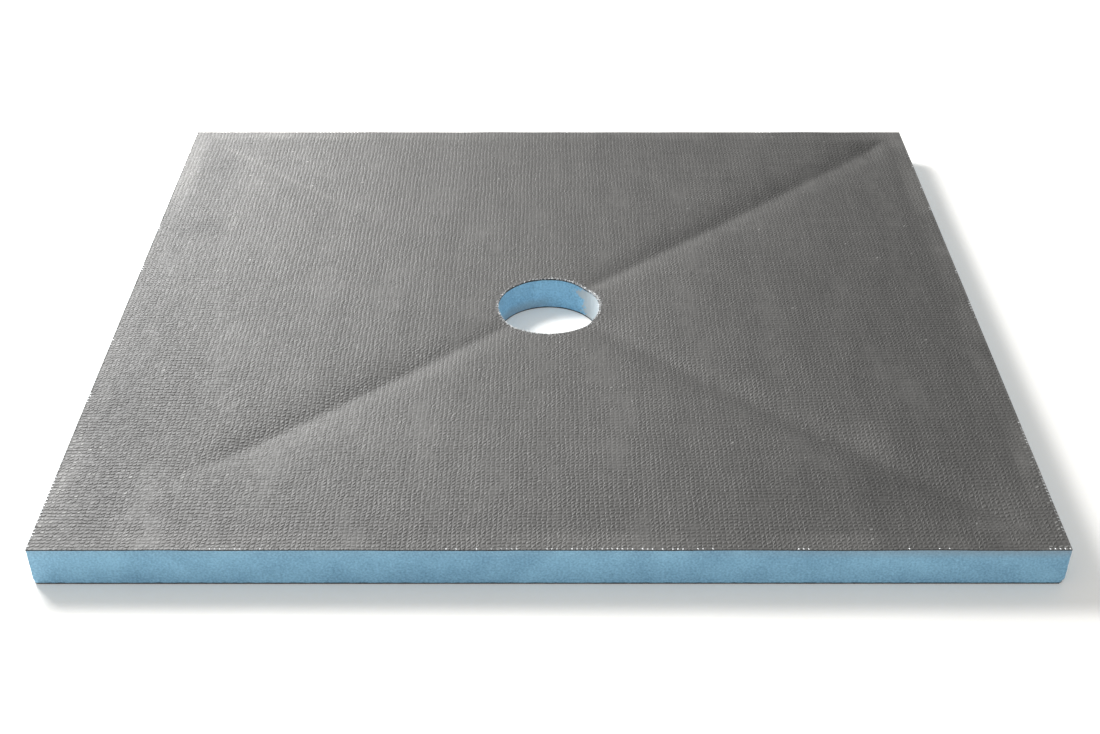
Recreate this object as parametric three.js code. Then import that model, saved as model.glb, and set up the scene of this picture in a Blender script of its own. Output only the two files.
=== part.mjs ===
// Shower underlay board: a blue rigid foam core with a thin mesh-reinforced mortar
// coating on its top and on its underside, and a round drain hole cut through all three.
//
// The board lies flat. X runs along its width, Y along its depth with the front edge at
// -Y, and Z points up from the floor. The origin is on the floor under its middle.
// A narrow level border runs round the top. Inside it four flat falls lean towards the
// drain hole and meet in four valleys that run from the border's corners to the hole.

import * as THREE from 'three';

// Driving dimensions, in millimetres.
const BOARD_WIDTH = 900;
const BOARD_DEPTH = 800;
const EDGE_HEIGHT = 40;          // from the floor to the top of the level border
const TOP_COATING = 1.2;         // mortar and mesh on the top
const BOTTOM_COATING = 1.2;      // mortar and mesh on the underside
const BORDER_WIDTH = 20;         // level border round the four falls
const FALL = 2.5;                // how far below the border the four falls would meet
const HOLE_DIAMETER = 108;
const HOLE_X = 0;                // place of the hole's axis
const HOLE_Y = -8;
const HOLE_SIDES = 96;           // flats round the hole, shared out between the four falls

// Finishes, from the look of the real board.
const COATING_GREY = 0x83827f;
const UNDERSIDE_GREY = 0x77767a;
const FOAM_BLUE = 0x78a8c4;

// The board's outline and the falls' outer outline, as corners counted anticlockwise
// from the front left.
function corners(halfX, halfY) {
  return [[-halfX, -halfY], [halfX, -halfY], [halfX, halfY], [-halfX, halfY]]
    .map(([x, y]) => new THREE.Vector2(x, y));
}

const outline = corners(BOARD_WIDTH / 2, BOARD_DEPTH / 2);
const fallsOutline = corners(BOARD_WIDTH / 2 - BORDER_WIDTH, BOARD_DEPTH / 2 - BORDER_WIDTH);
const holeCentre = new THREE.Vector2(HOLE_X, HOLE_Y);

// Points of the hole's rim that belong to the fall between two valleys. The first and
// the last lie on the valleys themselves.
function rimPoints(fromCorner, toCorner) {
  const start = fromCorner.clone().sub(holeCentre).angle();
  let sweep = toCorner.clone().sub(holeCentre).angle() - start;
  if (sweep < 0) sweep += 2 * Math.PI;
  const steps = Math.max(2, Math.round(HOLE_SIDES * sweep / (2 * Math.PI)));
  return Array.from({ length: steps + 1 }, (_, i) => {
    const angle = start + sweep * i / steps;
    return new THREE.Vector2(
      HOLE_X + HOLE_DIAMETER / 2 * Math.cos(angle),
      HOLE_Y + HOLE_DIAMETER / 2 * Math.sin(angle));
  });
}

// How deep the top lies below the level border: nothing on the border, then evenly
// deeper on each fall, as far as FALL above the hole's axis.
function fallDepth(point) {
  const halfX = BOARD_WIDTH / 2 - BORDER_WIDTH;
  const halfY = BOARD_DEPTH / 2 - BORDER_WIDTH;
  const shares = [
    (halfX - point.x) / (halfX - HOLE_X),
    (halfX + point.x) / (halfX + HOLE_X),
    (halfY - point.y) / (halfY - HOLE_Y),
    (halfY + point.y) / (halfY + HOLE_Y)];
  return FALL * Math.max(0, Math.min(...shares));
}

// The plan that every layer shares: its points, and triangles that cover the border and
// the four falls. The outline and the rim are also kept as closed loops of point numbers.
function boardPlan() {
  const points = [];
  const triangles = [];
  const numberOf = (point) => {
    const known = points.findIndex((other) => other.distanceTo(point) < 1e-6);
    return known < 0 ? points.push(point) - 1 : known;
  };
  const cover = (polygon) => {
    for (const face of THREE.ShapeUtils.triangulateShape(polygon, [])) {
      triangles.push(face.map((i) => numberOf(polygon[i])));
    }
  };
  const rim = [];
  fallsOutline.forEach((corner, side) => {
    const next = (side + 1) % fallsOutline.length;
    cover([outline[side], outline[next], fallsOutline[next], corner]);
    const arc = rimPoints(corner, fallsOutline[next]);
    cover([corner, fallsOutline[next], ...arc.slice().reverse()]);
    rim.push(...arc.slice(0, -1));
  });
  return { points, triangles, edge: outline.map(numberOf), rim: rim.map(numberOf) };
}

// One layer of the board: the plan at its lower and at its upper height, closed by
// walls along the board's edge and inside the drain hole.
function layer(name, plan, lower, upper, finish) {
  const { points, triangles, edge, rim } = plan;
  const count = points.length;
  const position = [];
  for (const height of [lower, upper]) {
    for (const point of points) position.push(point.x, point.y, height(point));
  }
  const index = [];
  for (const [a, b, c] of triangles) {
    index.push(a, c, b);
    index.push(count + a, count + b, count + c);
  }
  const wall = (loop) => loop.forEach((a, i) => {
    const b = loop[(i + 1) % loop.length];
    index.push(a, b, count + b);
    index.push(a, count + b, count + a);
  });
  wall(edge);
  wall(rim.slice().reverse());
  const geometry = new THREE.BufferGeometry();
  geometry.setAttribute('position', new THREE.Float32BufferAttribute(position, 3));
  geometry.setIndex(index);
  geometry.computeVertexNormals();
  const mesh = new THREE.Mesh(geometry, new THREE.MeshStandardMaterial(finish));
  mesh.name = name;
  return mesh;
}

// Heights of the four faces that the three layers lie between.
const floorLevel = () => 0;
const coreUnderside = () => BOTTOM_COATING;
const boardTop = (point) => EDGE_HEIGHT - fallDepth(point);
const coreTop = (point) => boardTop(point) - TOP_COATING;

const plan = boardPlan();
const board = new THREE.Group();
board.add(
  layer('bottom_coating', plan, floorLevel, coreUnderside,
    { color: UNDERSIDE_GREY, roughness: 0.9, metalness: 0 }),
  layer('foam_core', plan, coreUnderside, coreTop,
    { color: FOAM_BLUE, roughness: 0.75, metalness: 0 }),
  layer('top_coating', plan, coreTop, boardTop,
    { color: COATING_GREY, roughness: 0.8, metalness: 0 }));

export default board;
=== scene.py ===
# %% [markdown]
# A shower underlay board: a slab of blue foam between two thin coatings of grey mortar with
# glass mesh in them, with four shallow falls that meet in valleys and a round drain hole.
# The frame gives the real slab. Here its three layers get the surface that the real ones
# have: the mesh that shows through the mortar, the cut foam, the frayed rim of the hole.

import bpy
import numpy as np
from mathutils import Matrix, Vector
from mathutils.geometry import delaunay_2d_cdt


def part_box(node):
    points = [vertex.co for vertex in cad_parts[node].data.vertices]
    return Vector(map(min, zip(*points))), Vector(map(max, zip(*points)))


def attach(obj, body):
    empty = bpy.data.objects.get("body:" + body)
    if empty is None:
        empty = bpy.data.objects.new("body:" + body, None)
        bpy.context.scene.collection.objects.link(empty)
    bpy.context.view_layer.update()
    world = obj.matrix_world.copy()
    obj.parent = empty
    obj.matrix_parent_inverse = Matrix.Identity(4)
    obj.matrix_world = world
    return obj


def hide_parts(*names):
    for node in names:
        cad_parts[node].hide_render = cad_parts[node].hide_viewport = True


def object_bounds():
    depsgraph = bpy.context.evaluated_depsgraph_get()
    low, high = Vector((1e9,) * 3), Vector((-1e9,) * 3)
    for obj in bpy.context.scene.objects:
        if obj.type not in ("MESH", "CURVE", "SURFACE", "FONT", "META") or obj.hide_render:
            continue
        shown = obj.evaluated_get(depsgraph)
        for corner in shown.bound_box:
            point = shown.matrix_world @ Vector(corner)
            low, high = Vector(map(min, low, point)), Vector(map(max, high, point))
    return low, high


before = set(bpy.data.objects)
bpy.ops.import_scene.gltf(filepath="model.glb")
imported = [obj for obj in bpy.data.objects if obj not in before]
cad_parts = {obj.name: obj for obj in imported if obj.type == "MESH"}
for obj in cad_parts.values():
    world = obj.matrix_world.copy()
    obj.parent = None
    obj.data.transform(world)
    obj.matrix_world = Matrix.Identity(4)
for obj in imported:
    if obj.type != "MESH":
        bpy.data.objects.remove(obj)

MM = 0.001
cad_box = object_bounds()
print("CAD box, mm:", [round(v / MM, 2) for corner in cad_box for v in corner])

# %% [markdown]
# Every size below comes from the frame, so that the surfaces meet the solids whatever their
# sizes are. The hole is what lies near the middle of the underside, the level border ends
# where the top starts to fall, and the highest point of the hole's rim gives the fall.

# %% Measure the board


def node_points(name):
    """All vertices of a CAD node as rows of x, y, z in metres."""
    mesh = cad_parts[name].data
    flat = np.empty(len(mesh.vertices) * 3, np.float32)
    mesh.vertices.foreach_get("co", flat)
    return flat.reshape(-1, 3).astype(float)


top_points, under_points = node_points("top_coating"), node_points("bottom_coating")
HALF_X, HALF_Y, TOP = cad_box[1]
CORE_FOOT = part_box("foam_core")[0].z
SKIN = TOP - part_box("foam_core")[1].z

round_hole = under_points[np.hypot(under_points[:, 0], under_points[:, 1]) < HALF_Y / 2]
HOLE = (round_hole[:, :2].min(0) + round_hole[:, :2].max(0)) / 2
HOLE_RADIUS = np.hypot(*(round_hole[:, :2] - HOLE).T).max()

inside = np.abs(top_points[:, 0]) < HALF_X - 0.1 * MM
border_points = top_points[inside & (top_points[:, 2] > TOP - 0.01 * MM)]
FALLS_X, FALLS_Y = np.abs(border_points[:, :2]).max(0)


def shares_to_hole(x, y):
    """How far a point lies on the way from the falls' outer edge to the hole's axis, 0 to 1:
    the least of four shares, one for each side, and how much larger the second least is,
    which is nothing on a valley."""
    shares = np.stack([
        (FALLS_X - x) / (FALLS_X - HOLE[0]), (FALLS_X + x) / (FALLS_X + HOLE[0]),
        (FALLS_Y - y) / (FALLS_Y - HOLE[1]), (FALLS_Y + y) / (FALLS_Y + HOLE[1])])
    least, second = np.sort(shares, axis=0)[:2]
    return np.clip(least, 0, 1), second - least


on_rim = np.hypot(*(top_points[:, :2] - HOLE).T) < HOLE_RADIUS + 0.1 * MM
highest = max(top_points[on_rim], key=lambda point: point[2])
FALL = (TOP - highest[2]) / shares_to_hole(highest[0], highest[1])[0]
print(f"board {HALF_X / MM * 2:.0f} x {HALF_Y / MM * 2:.0f} x {TOP / MM:.1f} mm, "
      f"skin {SKIN / MM:.2f}, border {(HALF_X - FALLS_X) / MM:.1f}, fall {FALL / MM:.2f}")
print("hole", round(2 * HOLE_RADIUS / MM, 2), "mm across at", np.round(HOLE / MM, 2))

# %% [markdown]
# Nothing on the board is quite even: its top is wavy, its threads wander and its mortar is
# thicker here and there. All of this comes from one smooth random surface. Blender has noise
# of its own, but a sum of sine waves is the same on every run, costs one line, and its
# wavelengths are real sizes. A soft step fades one thing into another.

# %% Smooth random waves


def waves(x, y, shortest, longest, seed, count=24):
    """A smooth random height of about -2 to 2, 1 in the root mean square: the sum of plane
    sine waves with random directions, phases and lengths, divided by its spread."""
    draw = np.random.default_rng(seed)
    total = np.zeros(np.broadcast(x, y).shape)
    for angle, phase, length in zip(draw.uniform(0, 2 * np.pi, count),
                                    draw.uniform(0, 2 * np.pi, count),
                                    draw.uniform(shortest, longest, count)):
        total += np.sin(2 * np.pi * (x * np.cos(angle) + y * np.sin(angle)) / length + phase)
    return total / np.sqrt(count / 2)


def smoothstep(low, high, value):
    """0 below low and 1 above high, with a soft S between them: t squared times 3 less 2t."""
    t = np.clip((value - low) / (high - low), 0, 1)
    return t * t * (3 - 2 * t)


one_metre = waves(np.linspace(0, 1, 1001), 0.0, 50 * MM, 180 * MM, seed=3)
print("waves along a metre, lowest and highest:", one_metre.min().round(2), one_metre.max().round(2))

# %% [markdown]
# The board's mean top surface is one formula. The frame's falls are flat, but on the real
# board the mesh was pressed into the four valleys by hand, so each is a crease of its own
# with sides that curve up into the falls, and the whole top is slightly wavy from the blade.
# The foam's top follows the same formula one coating lower.

# %% The shape of the top
LEVEL_DROP = 0.40 * MM       # room under the frame's top for the relief of the mesh
BLADE_WAVE = 0.10 * MM
VALLEY_ROUND = 4 * MM        # rounding of a valley's very bottom
NARROW, WIDE = 13 * MM, 25 * MM    # a valley's reach beside the hole, and farther out
VALLEYS = {                  # side in x and y: steepness at its line, and where it fades out
    (-1, -1): (0.20, 0.62),
    (1, -1): (0.17, 0.95),
    (1, 1): (0.24, 0.90),
    (-1, 1): (0.02, 0.95),
}


def beside_valley(x, y, side_x, side_y):
    """How far a point lies along a valley, 0 at the hole's axis and 1 at the falls' corner,
    and its distance from the valley's line, above 0 on the side towards +X."""
    run_x, run_y = side_x * FALLS_X - HOLE[0], side_y * FALLS_Y - HOLE[1]
    u, v = (x - HOLE[0]) / run_x, (y - HOLE[1]) / run_y
    aside = side_x * (u - v) * np.abs(run_x * run_y) / np.hypot(run_x, run_y)
    return (u + v) / 2, aside


def valley_depth(x, y):
    """The sum of four creases, each its steepness times its reach times the exponential of
    minus the distance from its line over its reach. There is none on the level border."""
    depth = np.zeros(np.shape(x))
    for (side_x, side_y), (steepness, end) in VALLEYS.items():
        along, distance = beside_valley(x, y, side_x, side_y)
        reach = NARROW + (WIDE - NARROW) * smoothstep(0.1, 0.5, along)
        rounded = np.hypot(distance, VALLEY_ROUND) - VALLEY_ROUND
        depth += (steepness * reach * np.exp(-rounded / reach) * smoothstep(0.02, 0.12, along)
                  * (1 - smoothstep(end, end + 0.2, along)))
    return depth * smoothstep(0.0, 0.06, shares_to_hole(x, y)[0])


def top_height(x, y):
    """Border height, less an even fall towards the hole, less the valleys, plus the waves
    that the blade left, which are longer along its way from front to back."""
    least, _ = shares_to_hole(x, y)
    blade = BLADE_WAVE * waves(x, 0.45 * y, 50 * MM, 180 * MM, seed=3)
    return TOP - LEVEL_DROP - FALL * least - valley_depth(x, y) + blade


sample = top_height(np.array([-0.4, 0.0, 0.2]), np.array([0.0, 0.3, 0.2]))
print("top height at three places, mm:", np.round(sample / MM, 2))

# %% [markdown]
# The glass mesh shows through the mortar as a net of low ridges with a pit in each cell. It
# could be bump alone, but a ridge is up to half a millimetre high, and bump leaves the
# outline and the exported mesh smooth. So each cell of the net is four triangles: its
# corners lie on the threads' crossings and its middle is the pit. The cells that the hole
# cuts are left out, and the corners next to it are drawn onto its rim.

# %% The net of threads
WARP_PITCH, WEFT_PITCH = 4.33 * MM, 4.48 * MM
WARPS, WEFTS = round(2 * HALF_X / WARP_PITCH), round(2 * HALF_Y / WEFT_PITCH)
THREAD_WANDER = 0.35 * MM


def thread_net():
    """The net's plan: points, triangles anticlockwise from above, and its border edges with
    the net on their left, plus each point's thread numbers, which are whole on a crossing
    and halves in a pit."""
    nx, ny = WARPS, WEFTS
    x, y = np.meshgrid(np.linspace(-HALF_X, HALF_X, nx + 1), np.linspace(-HALF_Y, HALF_Y, ny + 1))
    free = smoothstep(0, 25 * MM, np.minimum(HALF_X - np.abs(x), HALF_Y - np.abs(y)))
    bent_x = x + THREAD_WANDER * free * waves(x, y, 35 * MM, 180 * MM, seed=11)
    bent_y = y + THREAD_WANDER * free * waves(x, y, 35 * MM, 180 * MM, seed=12)
    crossing = np.stack([bent_x, bent_y], 2)
    middle = (crossing[:-1, :-1] + crossing[1:, :-1] + crossing[:-1, 1:] + crossing[1:, 1:]) / 4
    outside = np.hypot(*(crossing - HOLE).transpose(2, 0, 1)) > HOLE_RADIUS
    kept = outside[:-1, :-1] & outside[1:, :-1] & outside[:-1, 1:] & outside[1:, 1:]

    number = np.arange((nx + 1) * (ny + 1)).reshape(ny + 1, nx + 1)
    a, b, c, d = number[:-1, :-1], number[:-1, 1:], number[1:, 1:], number[1:, :-1]
    m = number.size + np.arange(nx * ny).reshape(ny, nx)
    triangles = np.concatenate([np.stack([p[kept], q[kept], m[kept]], 1)
                                for p, q in ((a, b), (b, c), (c, d), (d, a))])
    around = np.pad(kept, 1)
    edges = []
    for (p, q), (row, column) in zip(((a, b), (b, c), (c, d), (d, a)),
                                     ((-1, 0), (0, 1), (1, 0), (0, -1))):
        beside = around[1 + row:1 + row + ny, 1 + column:1 + column + nx]
        open_side = kept & ~beside
        edges.append(np.stack([p[open_side], q[open_side]], 1))
    edges = np.concatenate(edges)

    points = np.concatenate([crossing.reshape(-1, 2), middle.reshape(-1, 2)])
    on_hole = np.zeros(len(points), bool)
    on_hole[edges] = True
    on_hole &= (np.abs(points[:, 0]) < HALF_X - MM) & (np.abs(points[:, 1]) < HALF_Y - MM)
    ray = points[on_hole] - HOLE
    points[on_hole] = HOLE + ray * (HOLE_RADIUS / np.hypot(*ray.T))[:, None]

    column = np.concatenate([np.tile(np.arange(nx + 1), ny + 1), np.tile(np.arange(nx) + 0.5, ny)])
    row = np.concatenate([np.repeat(np.arange(ny + 1), nx + 1), np.repeat(np.arange(ny) + 0.5, nx)])
    thread = np.column_stack([column, row])
    used = np.unique(triangles)
    renumber = np.zeros(len(points), int)
    renumber[used] = np.arange(len(used))
    return {"points": points[used], "triangles": renumber[triangles], "edges": renumber[edges],
            "thread": thread[used]}


net = thread_net()
print("net:", len(net["points"]), "points,", len(net["triangles"]), "triangles")

# %% [markdown]
# The hidden faces between the layers need no detail, but a piece has to be closed. One
# helper fills the plan between an outer loop and the hole's loop with triangles, over a
# grid of inner points. The grid is fine under the falls, because a long triangle would cut
# across a valley and stand out through the mortar, and coarse where the face is level.

# %% Fill a hidden face
FINE_FILL, COARSE_FILL = 6.5 * MM, 20 * MM    # under the falls, and on a level face


def fill_plan(loops, edges, step):
    """Triangles, anticlockwise from above, between the given points, whose edges close the
    board's outline and the hole. A triangle lies over the hole where its corners are all on
    the rim and turn once round the hole's axis. Returns the points with the grid's added,
    and the faces."""
    gx, gy = np.meshgrid(np.arange(-HALF_X + step, HALF_X - step / 2, step),
                         np.arange(-HALF_Y + step, HALF_Y - step / 2, step))
    grid = np.stack([gx.ravel(), gy.ravel()], 1)
    grid = grid[np.hypot(*(grid - HOLE).T) > HOLE_RADIUS + step / 3]
    points = np.concatenate([loops, grid])
    filled = delaunay_2d_cdt([Vector(p) for p in points.tolist()], edges.tolist(), [], 1, 1e-7)
    faces = np.array([face for face in filled[2]])
    at_hole = np.zeros(len(points), bool)
    at_hole[:len(loops)] = np.hypot(*(loops - HOLE).T) < HOLE_RADIUS + 2 * MM
    angle = np.arctan2(*(points - HOLE).T[::-1])[faces]
    turned = ((np.roll(angle, -1, 1) - angle) % (2 * np.pi)).sum(1)
    over_hole = at_hole[faces].all(1) & (turned < 3 * np.pi)
    return points, faces[~over_hole]


print(f"hidden faces: a point every {FINE_FILL / MM} mm, or {COARSE_FILL / MM} where level")

# %% [markdown]
# A board is set down on its corners, so the lower ones are blunt: the tips of the foam and
# of the coating under it are knocked off together. A Boolean cut would leave a hard flat and
# new vertices, so one function moves the points of both pieces, which keeps each closed.

# %% Knocked corners
CORNER_KNOCKS = ((-1, -1, 2.2 * MM), (1, -1, 3.9 * MM), (1, 1, 1.6 * MM), (-1, 1, 1.8 * MM))
KNOCK_RISE = 3.5 * MM


def knock_corners(x, y, z):
    """The board's lower corners with their tips knocked off: a point nearer to a corner than
    a slant across it is drawn onto that slant, which shrinks as a bell curve upwards."""
    for side_x, side_y, leg in CORNER_KNOCKS:
        to_sides = (HALF_X - side_x * x) + (HALF_Y - side_y * y)
        rise = np.maximum(z - CORE_FOOT, 0) / KNOCK_RISE
        missing = np.maximum(leg * np.exp(-rise ** 2) - to_sides, 0) / 2
        x, y = x - side_x * missing, y - side_y * missing
    return x, y


print("corners knocked off, mm:", [round(leg / MM, 1) for _, _, leg in CORNER_KNOCKS])

# %% [markdown]
# The top coating is a polymer mortar drawn over the mesh with a blade. Where there is much
# mortar the net is drowned and the surface is smooth, where the blade pressed it away the
# threads stand out, and where the blade rubbed it dry the mortar is pale. Beside three
# valleys it is also painted darker on one side and paler on the other, as painted shade and
# painted light. These could be painted pictures, but smooth random maps with a few listed
# places need none, and as a value on each vertex they let the relief and the colour agree.

# %% How much mortar, how pale, and where it is rubbed off
COVER = 0.50                 # of the net by mortar, except at the far left


def mortar_cover(x, y, seed):
    """How much the mortar drowns the net, 0 to 1: even but for the far left, where the blade
    came down hardest, plus patches, a soft threshold of a random surface that is drawn out
    along the blade's way."""
    scraped = smoothstep(-0.10, -0.38, x) * smoothstep(-0.36, -0.12, y)
    patches = smoothstep(0.4, 2.4, waves(x, 0.4 * y, 25 * MM, 110 * MM, seed) * 0.9
                         + waves(x, y, 12 * MM, 40 * MM, seed + 1) * 0.5)
    return COVER * (1 - scraped) + 0.5 * patches


# Paler and darker patches on the mortar, listed one by one: darker where the last number is below 0.
TONE_PATCHES = (              # middle x, y, half width and depth in millimetres, and how much
    (-442, 300, 9, 80, 0.42), (-352, 391, 45, 9, 0.38), (-442, -310, 7, 70, 0.30),
    (-368, 169, 9, 34, 0.24), (-349, 265, 20, 28, 0.18), (-400, 155, 22, 20, -0.30),
    (-395, 300, 20, 60, -0.16), (300, -250, 16, 34, 0.22), (-345, -384, 45, 11, 0.15),
    (-180, -230, 75, 34, 0.12), (442, 260, 9, 120, 0.15), (308, -313, 90, 40, -0.10),
    (-5, -388, 45, 10, 0.13), (360, 80, 10, 14, 0.11), (-395, -330, 26, 34, -0.10),
    (-420, -210, 60, 130, -0.28), (-430, 110, 50, 220, -0.15), (90, 0, 80, 110, 0.13),
    (20, -240, 250, 170, 0.15), (100, 350, 350, 80, -0.04), (400, 60, 130, 260, -0.09),
    (410, -350, 50, 50, 0.15),
)
BORDER_PALE = 0.14
# Painted shade and painted light beside a valley are strongest this far from its line.
CREASE_SHADE_REACH = 13 * MM                # from a valley's line to where its mortar is palest or darkest


def paleness(x, y):
    """How much paler the mortar is than its mean, as a share: the level border, which the
    blade has rubbed most, a list of paler and darker patches, painted shade on one side of
    three valleys and painted light on the other, and a thin line along the far left valley."""
    inside = np.minimum(FALLS_X - np.abs(x), FALLS_Y - np.abs(y))
    uneven = 1 + 0.5 * waves(x, y, 40 * MM, 200 * MM, seed=17)
    pale = BORDER_PALE * uneven * (1 - smoothstep(-4 * MM, 5 * MM, inside))
    for middle_x, middle_y, half_x, half_y, most in TONE_PATCHES:
        reach = ((x / MM - middle_x) / half_x) ** 2 + ((y / MM - middle_y) / half_y) ** 2
        pale += most * np.exp(-reach)
    # Painted shade and painted light: beside three valleys the mortar is darker on the side turned from
    # the lamps and paler on the side turned to them.
    for side_x, side_y, most, end in ((1, 1, 0.09, 0.92), (-1, -1, 0.09, 0.68), (1, -1, 0.07, 0.85)):
        along, distance = beside_valley(x, y, side_x, side_y)
        crease_shade = distance / CREASE_SHADE_REACH * np.exp(0.5 - 0.5 * (distance / CREASE_SHADE_REACH) ** 2)
        pale += most * crease_shade * smoothstep(0.08, 0.2, along) * (1 - smoothstep(end, end + 0.12, along))
    along, distance = beside_valley(x, y, -1, 1)
    line = np.exp(-(distance / (3.5 * MM)) ** 2)
    return pale + 0.28 * line * smoothstep(0.45, 0.7, along) * (1 - smoothstep(0.92, 1, along))


def bare_crossings(x, y, seed):
    """1 where the blade has rubbed a crossing down to the glass, else 0. The chance is low
    over the whole board and high in a few patches: along the front edge left of the middle,
    near the front left corner, along the left edge's front end and at the right corner."""
    patches = ((-285, -396, 62, 5, 0.25), (-425, -325, 9, 60, 0.30), (-375, -305, 50, 20, 0.16),
               (-445, -320, 7, 80, 0.60), (438, -397, 14, 5, 0.7), (446, -320, 5, 90, 0.5))
    chance = 0.0006 + 0.005 * smoothstep(0.8, 2.2, waves(x, y, 25 * MM, 90 * MM, seed))
    for middle_x, middle_y, half_x, half_y, most in patches:
        reach = ((x / MM - middle_x) / half_x) ** 2 + ((y / MM - middle_y) / half_y) ** 2
        chance = np.maximum(chance, most * np.exp(-reach))
    whole = net["thread"][:, 0] % 1 == 0
    return (whole & (np.random.default_rng(seed).uniform(0, 1, len(x)) < chance)).astype(float)


share_bare = bare_crossings(*net["points"].T, 36).mean()
print(f"about {100 * share_bare:.2f} % of the net's points are rubbed down to the glass")

# %% [markdown]
# Every piece from here on is worked out as arrays of points and faces. One helper puts them
# into a mesh, keeps extra values on its vertices for the material, lets it ride with the
# board and hides the frame's solid that it stands for. Modifiers on a plain box could give a
# wavy slab too, but not a net whose corners meet the rim of the hole.

# %% From arrays to a piece


def make_piece(name, points, faces, slot, stands_for=None, **values):
    """A smooth-shaded mesh at the origin. faces is a list of arrays of vertex numbers, and
    values are numbers or vectors kept for each vertex under a name, for the material."""
    mesh = bpy.data.meshes.new(name)
    mesh.from_pydata(points.tolist(), [], [face for part in faces for face in part.tolist()])
    mesh.shade_smooth()
    mesh.set_sharp_from_angle(angle=np.radians(55))
    for label, numbers in values.items():
        kind, field = ("FLOAT", "value") if numbers.ndim == 1 else ("FLOAT_VECTOR", "vector")
        kept = mesh.attributes.new(label, kind, "POINT")
        kept.data.foreach_set(field, numbers.astype(np.float32).ravel())
    piece = bpy.data.objects.new(name, mesh)
    bpy.context.scene.collection.objects.link(piece)
    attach(piece, "root")
    if stands_for:
        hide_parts(stands_for)
    mesh.calc_loop_triangles()
    print(f"{name}: {len(mesh.vertices)} vertices, {len(mesh.loop_triangles)} triangles")
    return piece


# %% [markdown]
# Each coating is one closed piece: the net on its seen side, a plain filling on the side
# that is bonded to the foam, and a wall between the two along the edges and in the hole.
# One function makes both, because the underside is the same mortar turned over.

# %% Mortar over the net
RIDGE, PIT = 0.14 * MM, 0.30 * MM       # over and under the mean surface, before the mortar
THREAD_SPREAD, CELL_SPREAD = 0.22, 0.30    # how much threads and cells differ, as shares


def net_relief(seed, cover):
    """Height of each net point over the mean surface. Each thread lies higher or lower by
    itself, each pit differs, and mortar flattens both."""
    draw = np.random.default_rng(seed)
    is_pit = net["thread"][:, 0] % 1 > 0
    column, row = net["thread"].astype(int).T
    thread = (draw.normal(0, THREAD_SPREAD, WARPS + 1)[column]
              + draw.normal(0, THREAD_SPREAD, WEFTS + 1)[row])
    single = np.clip(draw.normal(0, CELL_SPREAD, len(column)), -0.9, 0.9)
    height = np.where(is_pit, -PIT * (1 + single), RIDGE * (1 + thread + 0.5 * single))
    return height * (1 - 0.8 * cover) + 0.06 * MM * cover


def skin_piece(name, slot, node, seen_height, hidden_height, upward, seed, knocked=False):
    """A coating: the net on its seen side, a plain filling on its hidden side, and a wall
    round the outline and the hole between the two. Its corners may be knocked off."""
    x, y = knock_corners(*net["points"].T, 0) if knocked else net["points"].T
    plan = np.column_stack([x, y])
    cover = mortar_cover(x, y, seed)
    height = net_relief(seed, cover)
    seen_z = seen_height(x, y) + (height if upward else -height)
    seen_z = np.minimum(seen_z, TOP) if upward else np.maximum(seen_z, 0)
    border, renumbered = np.unique(net["edges"], return_inverse=True)
    loop_edges = renumbered.reshape(net["edges"].shape)
    hidden, faces = fill_plan(plan[border], loop_edges, FINE_FILL if upward else COARSE_FILL)
    hidden_z = hidden_height(hidden[:, 0], hidden[:, 1])
    first = len(x)
    points = np.concatenate([np.column_stack([x, y, seen_z]), np.column_stack([hidden, hidden_z])])
    a, b = net["edges"].T
    wall = np.stack([loop_edges[:, 0] + first, loop_edges[:, 1] + first, b, a], 1)
    if upward:
        parts = [net["triangles"], faces[:, ::-1] + first, wall]
    else:
        parts = [net["triangles"][:, ::-1], faces + first, wall[:, ::-1]]
    hidden_thread = (hidden / (HALF_X, HALF_Y) + 1) / 2 * (WARPS, WEFTS)
    thread = np.concatenate([net["thread"], hidden_thread])
    return make_piece(name, points, parts, slot, node,
                      thread=np.column_stack([thread, 0 * thread[:, 0]]),
                      cover=np.concatenate([cover, np.zeros(len(hidden))]),
                      # pale holds the paler places and also the painted shade and painted light beside
                      # three valleys.
                      pale=np.concatenate([paleness(x, y) * upward, np.zeros(len(hidden))]),
                      bare=np.concatenate([bare_crossings(x, y, seed + 5), np.zeros(len(hidden))]))


CORE_ROOM = 0.3 * MM         # keeps the foam under the mortar in the valleys


def core_top(x, y):
    """The foam's top: the mean top surface without its drop, a coating and some room lower."""
    return top_height(x, y) + LEVEL_DROP - SKIN - CORE_ROOM


def top_lip(x, y):
    """The top coating's hidden face, with an uneven lip that runs down over the foam."""
    at_edge = np.maximum(np.abs(x) - HALF_X, np.abs(y) - HALF_Y) > -0.1 * MM
    at_hole = np.hypot(x - HOLE[0], y - HOLE[1]) < HOLE_RADIUS + 0.1 * MM
    sag = np.maximum(0.10 * MM * waves(x, y, 6 * MM, 40 * MM, seed=21), 0) + 0.7 * MM * at_hole
    return core_top(x, y) + 0.05 * MM - np.where(at_edge | at_hole, sag, 0)


top_skin = skin_piece("top_skin", "coating", "top_coating", top_height, top_lip, True, seed=31)

# %% [markdown]
# The underside is the same mortar and mesh, but level. Its ridges rest on the floor and
# nothing of it may lie lower, so its mean surface is drawn a ridge higher. It could be plain,
# since it is hidden, but its edge shows in front and a reused board may be turned over.

# %% The coating underneath


def under_seen(x, y):
    """The mean underside, as far above the floor as the ridges of the net are high."""
    return np.full(x.shape, 1.6 * RIDGE)


def under_hidden(x, y):
    """The foam's underside."""
    return np.full(x.shape, CORE_FOOT)


bottom_skin = skin_piece("bottom_skin", "underside", "bottom_coating", under_seen, under_hidden,
                         False, seed=41, knocked=True)

# %% [markdown]
# The core is extruded foam that was cut to size, so its sides are straight but not smooth:
# the blade leaves faint upright marks, and opens the cells. It stands back a hair from the
# coatings, which were cut with it but are harder. A Displace modifier on a box would need a
# picture for this. Here a wall is a closed loop of points, carried from low to high, and each
# point is moved back by a formula of its place along the loop and its height.

# %% Cut walls
FOAM_STEP = 2.0 * MM
SET_BACK = 0.22 * MM


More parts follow.
